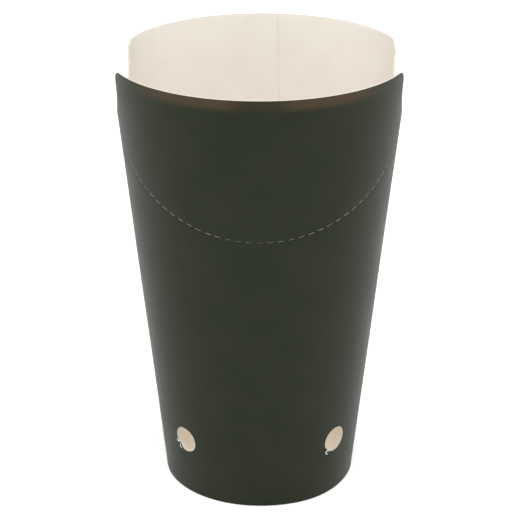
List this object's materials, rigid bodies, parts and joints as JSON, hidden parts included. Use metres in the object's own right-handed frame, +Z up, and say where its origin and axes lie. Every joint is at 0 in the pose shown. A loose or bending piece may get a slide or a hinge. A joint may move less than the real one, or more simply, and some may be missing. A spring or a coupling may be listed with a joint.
{
  "type": "closing flap cup",
  "caption": "Tapered paperboard cup with a front and a back flap that fold in over the mouth along curved perforated creases, side notches and vent holes near the base.",
  "frame": {"origin": "middle of the ring the cup stands on", "axes": "+Z up along the cup's axis; the front flap faces -Y and the side seam is at +Y; +X to the right seen from the front"},
  "size_m": [0.0904, 0.0941, 0.1467],
  "materials": {
    "printed_board": "dark olive print, satin",
    "plain_board": "uncoated board, matte",
    "lining_film": "cream lined inside, satin",
    "seal_film": "melted lining, satin"
  },
  "bodies": {
    "cup": {"sleeve_wall": "printed_board", "bottom_hem": "printed_board", "front_crease_ties": "printed_board", "back_crease_ties": "printed_board", "seam_lap": "plain_board", "bottom_disc": "plain_board", "wall_lining": "lining_film", "seam_lap_lining": "lining_film", "bottom_lining": "lining_film", "hem_lining": "lining_film", "seam_seal": "seal_film"},
    "front_flap": {"front_flap": "printed_board", "front_flap_lining": "lining_film"},
    "back_flap": {"back_flap": "printed_board", "back_flap_seam_lap": "plain_board", "back_flap_lining": "lining_film", "back_flap_seam_lap_lining": "lining_film", "back_flap_seam_seal": "seal_film"}
  },
  "joints": [
    {"name": "front_flap_fold", "type": "hinge", "parent": "cup", "child": "front_flap", "pos_m": [0, -0.04207, 0.09863], "axis": [-1, 0, 0], "range_deg": [0, 68], "deforming": ["front_flap", "front_flap_lining"]},
    {"name": "back_flap_fold", "type": "hinge", "parent": "cup", "child": "back_flap", "pos_m": [0, 0.04207, 0.09863], "axis": [1, 0, 0], "range_deg": [0, 62], "deforming": ["back_flap", "back_flap_seam_lap", "back_flap_lining", "back_flap_seam_lap_lining", "back_flap_seam_seal"]}
  ]
}
